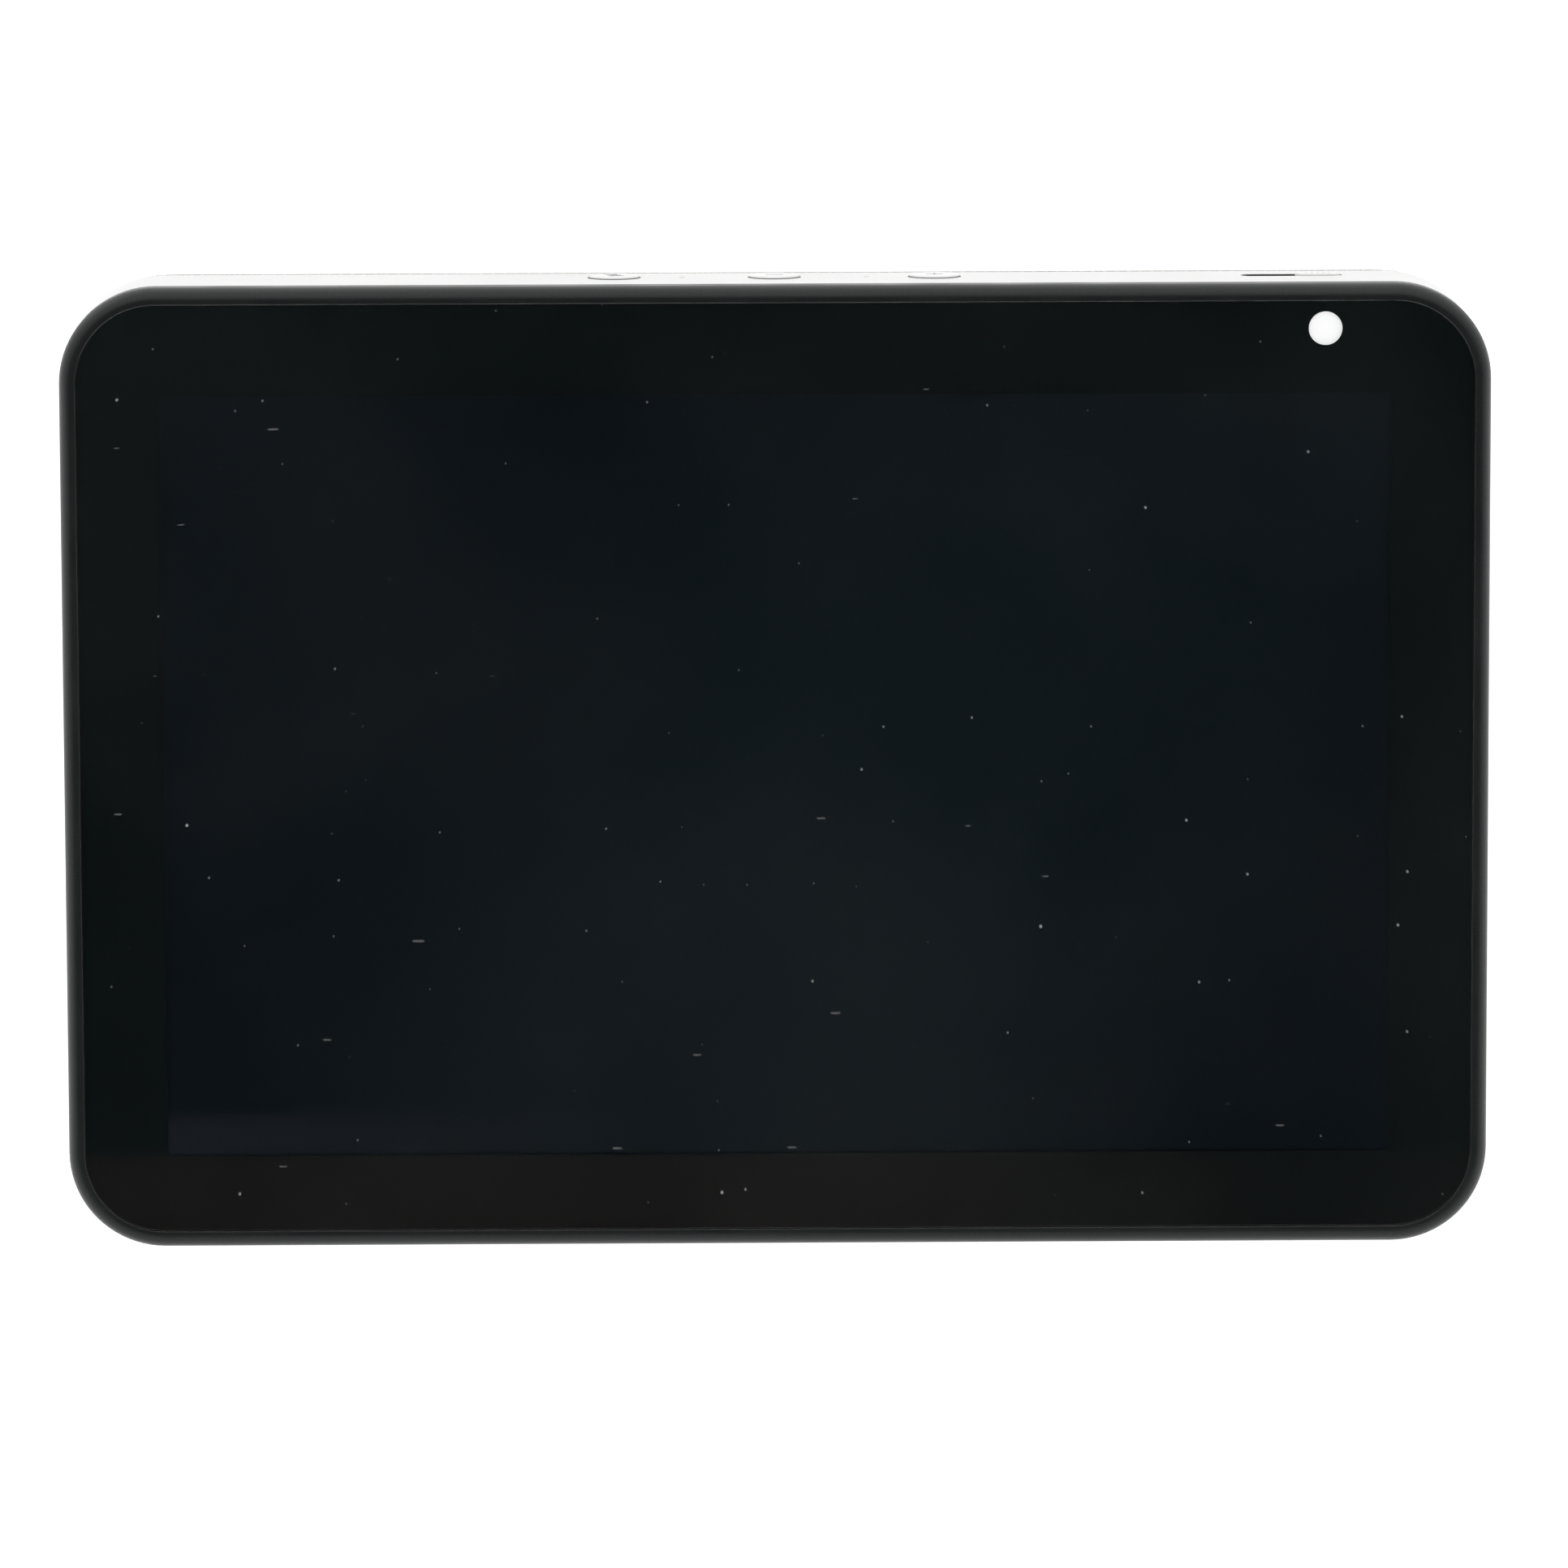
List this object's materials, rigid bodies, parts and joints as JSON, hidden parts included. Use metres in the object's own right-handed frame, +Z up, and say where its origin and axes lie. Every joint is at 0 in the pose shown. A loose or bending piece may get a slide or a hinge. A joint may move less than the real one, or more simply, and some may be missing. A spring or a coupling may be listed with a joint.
{
  "type": "smart display",
  "caption": "Tabletop smart display: a black glass touch screen leaning back on a wedge-shaped fabric body, with top buttons, a sliding camera shutter and rear sockets.",
  "frame": {"origin": "centre of the rubber foot's underside, on the table", "axes": "+X is the width to the viewer's right, -Y is the front the screen faces, +Z is up"},
  "size_m": [0.2004, 0.099, 0.1366],
  "materials": {
    "cover_glass": "gloss black, printed behind, with a clear window",
    "black_plastic": "satin, fine grain",
    "lcd_face": "dark polariser",
    "tray_steel": "plain",
    "chassis_aluminium": "plain",
    "white_plastic": "satin white",
    "shell_plastic": "matte",
    "fabric": "light grey knit",
    "foot_rubber": "matte grey",
    "weight_iron": "plain",
    "inner_black_plastic": "matte",
    "circuit_board": "solder mask",
    "shield_steel": "tinned",
    "flex_circuit": "polyimide",
    "lens_glass": "coated",
    "speaker_cone": "matte",
    "driver_steel": "black",
    "surround_rubber": "matte",
    "screw_steel": "plain"
  },
  "bodies": {
    "housing": {"audio_jack": "inner_black_plastic", "backlight_tray": "tray_steel", "base_plate": "white_plastic", "base_screw_1": "screw_steel", "base_screw_2": "screw_steel", "base_screw_3": "screw_steel", "base_screw_4": "screw_steel", "button_board": "circuit_board", "button_flex": "flex_circuit", "camera_bracket": "shield_steel", "camera_flex": "flex_circuit", "camera_lens": "lens_glass", "camera_module": "inner_black_plastic", "chassis_screw_1": "screw_steel", "chassis_screw_2": "screw_steel", "chassis_screw_3": "screw_steel", "chassis_screw_4": "screw_steel", "cover_glass": "cover_glass", "dc_jack": "inner_black_plastic", "display_chassis": "chassis_aluminium", "display_flex": "flex_circuit", "fabric_cover": "fabric", "front_frame": "black_plastic", "heat_spreader": "chassis_aluminium", "housing_ring": "white_plastic", "io_board": "circuit_board", "lcd_panel": "lcd_face", "left_driver_basket": "driver_steel", "left_driver_surround": "surround_rubber", "main_board": "circuit_board", "mic_gasket_left": "surround_rubber", "mic_gasket_right": "surround_rubber", "mic_off_switch": "shield_steel", "micro_usb_port": "shield_steel", "microphone_left": "shield_steel", "microphone_right": "shield_steel", "port_panel": "white_plastic", "processor_shield": "shield_steel", "radiator_surround": "surround_rubber", "radio_shield": "shield_steel", "rear_housing": "shell_plastic", "right_driver_basket": "driver_steel", "right_driver_surround": "surround_rubber", "rubber_foot": "foot_rubber", "speaker_box": "inner_black_plastic", "steel_weight": "weight_iron", "volume_down_switch": "shield_steel", "volume_up_switch": "shield_steel"},
    "mic_off_key": {"mic_off_button": "white_plastic", "mic_off_plunger": "inner_black_plastic"},
    "volume_down_key": {"volume_down_button": "white_plastic", "volume_down_plunger": "inner_black_plastic"},
    "volume_up_key": {"volume_up_button": "white_plastic", "volume_up_plunger": "inner_black_plastic"},
    "camera_shutter": {"shutter_slider": "white_plastic", "shutter_blade": "white_plastic"},
    "left_cone": {"left_driver_cone": "speaker_cone"},
    "right_cone": {"right_driver_cone": "speaker_cone"},
    "radiator": {"radiator_plate": "chassis_aluminium"}
  },
  "joints": [
    {"name": "mic_off_key_press", "type": "slide", "parent": "housing", "child": "mic_off_key", "axis": [0, -0.342, -0.9397], "range_m": [0, 0.0005], "stiffness_N_per_m": 3000},
    {"name": "volume_down_key_press", "type": "slide", "parent": "housing", "child": "volume_down_key", "axis": [0, -0.342, -0.9397], "range_m": [0, 0.0005], "stiffness_N_per_m": 3000},
    {"name": "volume_up_key_press", "type": "slide", "parent": "housing", "child": "volume_up_key", "axis": [0, -0.342, -0.9397], "range_m": [0, 0.0005], "stiffness_N_per_m": 3000},
    {"name": "camera_shutter_slide", "type": "slide", "parent": "housing", "child": "camera_shutter", "axis": [-1, 0, 0], "range_m": [0, 0.0074]},
    {"name": "left_cone_travel", "type": "slide", "parent": "housing", "child": "left_cone", "axis": [0, 0.9945, 0.1045], "range_m": [-0.0015, 0.0015], "stiffness_N_per_m": 1500},
    {"name": "right_cone_travel", "type": "slide", "parent": "housing", "child": "right_cone", "axis": [0, 0.9945, 0.1045], "range_m": [-0.0015, 0.0015], "stiffness_N_per_m": 1500},
    {"name": "radiator_travel", "type": "slide", "parent": "housing", "child": "radiator", "axis": [0, 0.9945, 0.1045], "range_m": [-0.002, 0.002], "stiffness_N_per_m": 800}
  ]
}
